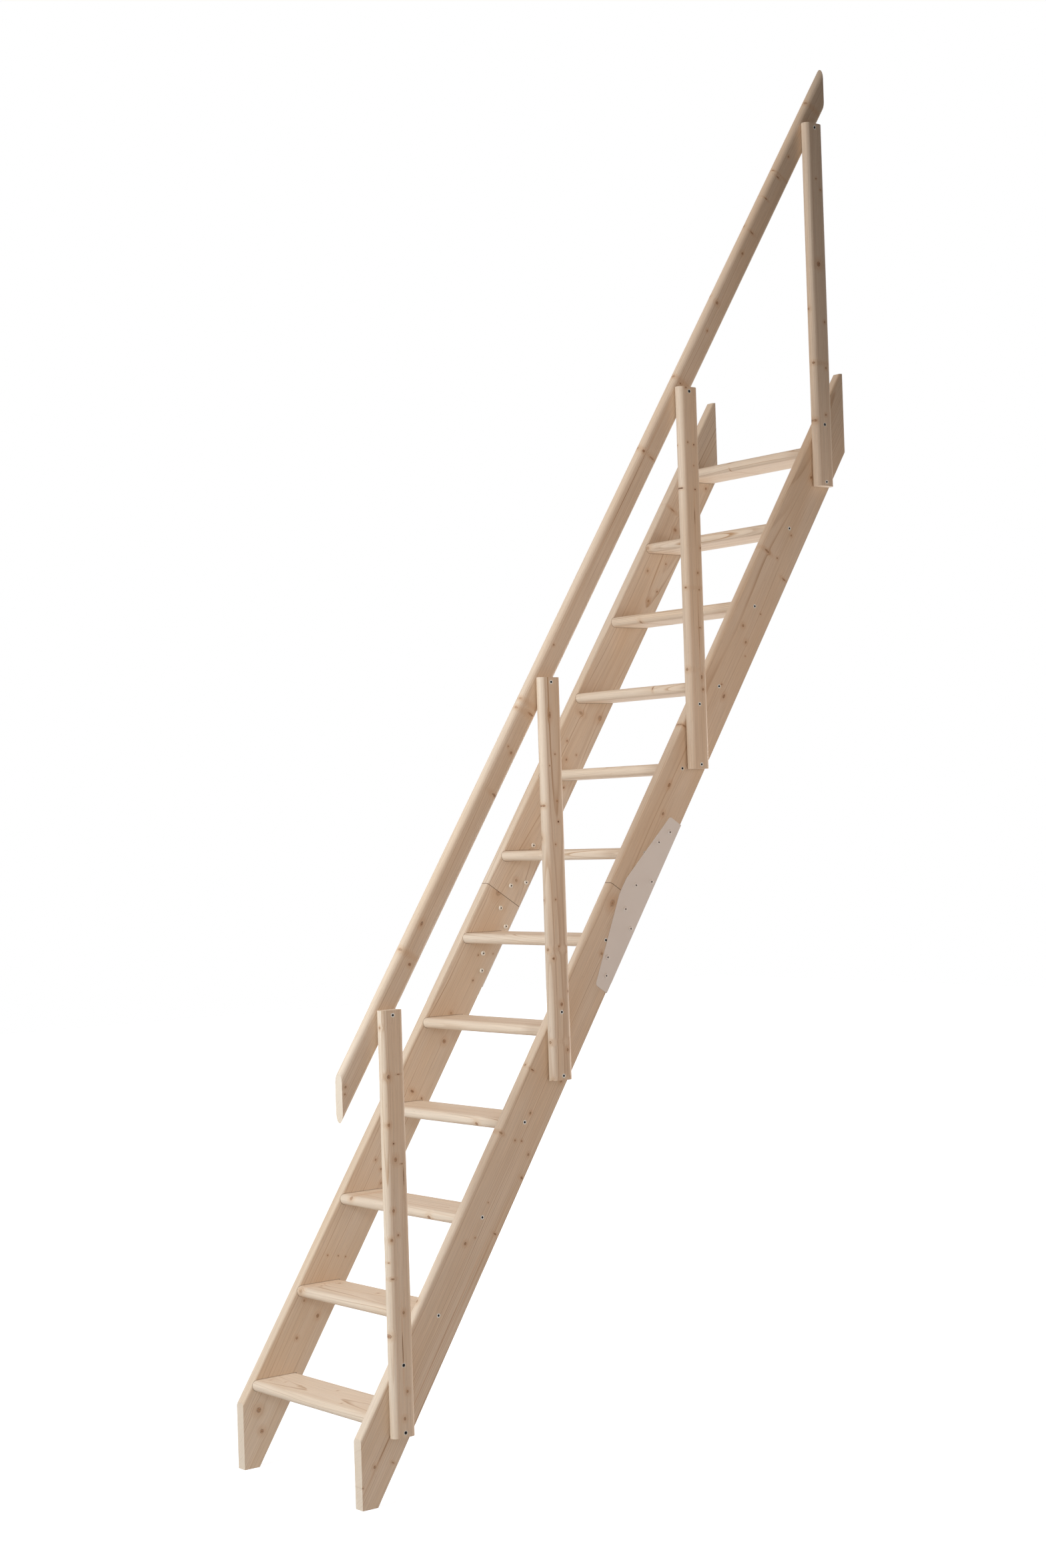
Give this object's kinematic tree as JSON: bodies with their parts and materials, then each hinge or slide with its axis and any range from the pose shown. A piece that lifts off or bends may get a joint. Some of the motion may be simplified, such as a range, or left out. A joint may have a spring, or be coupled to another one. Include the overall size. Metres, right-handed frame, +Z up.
{
  "type": "space-saving staircase",
  "caption": "Steep open-riser softwood staircase: round-nosed treads housed in stringers that are joined by splice plates, with a straight handrail on plain posts.",
  "frame": {"origin": "on the lower floor, in the middle of the level cut under the right stringer's foot, in the mid-plane of that stringer's thickness", "axes": "+Z up, +Y the way a person climbs, +X to that person's right, where the handrail is"},
  "size_m": [0.5765, 1.7326, 3.6401],
  "materials": {
    "stringer_wood": "planed, untreated spruce",
    "tread_wood": "planed, untreated spruce",
    "rail_wood": "planed, untreated spruce",
    "plate_paint": "pale warm grey powder coat, satin",
    "fixing_steel": "zinc plated, satin"
  },
  "bodies": {
    "root": {"handrail": "rail_wood", "left_plate_bolts": "fixing_steel", "left_splice_plate": "plate_paint", "left_stringer_lower": "stringer_wood", "left_stringer_upper": "stringer_wood", "left_tread_screws": "fixing_steel", "post_1": "rail_wood", "post_2": "rail_wood", "post_3": "rail_wood", "post_4": "rail_wood", "post_screws": "fixing_steel", "rail_screws": "fixing_steel", "right_plate_bolts": "fixing_steel", "right_splice_plate": "plate_paint", "right_stringer_lower": "stringer_wood", "right_stringer_upper": "stringer_wood", "right_tread_screws": "fixing_steel", "tread_01": "tread_wood", "tread_02": "tread_wood", "tread_03": "tread_wood", "tread_04": "tread_wood", "tread_05": "tread_wood", "tread_06": "tread_wood", "tread_07": "tread_wood", "tread_08": "tread_wood", "tread_09": "tread_wood", "tread_10": "tread_wood", "tread_11": "tread_wood", "tread_12": "tread_wood"}
  },
  "joints": []
}
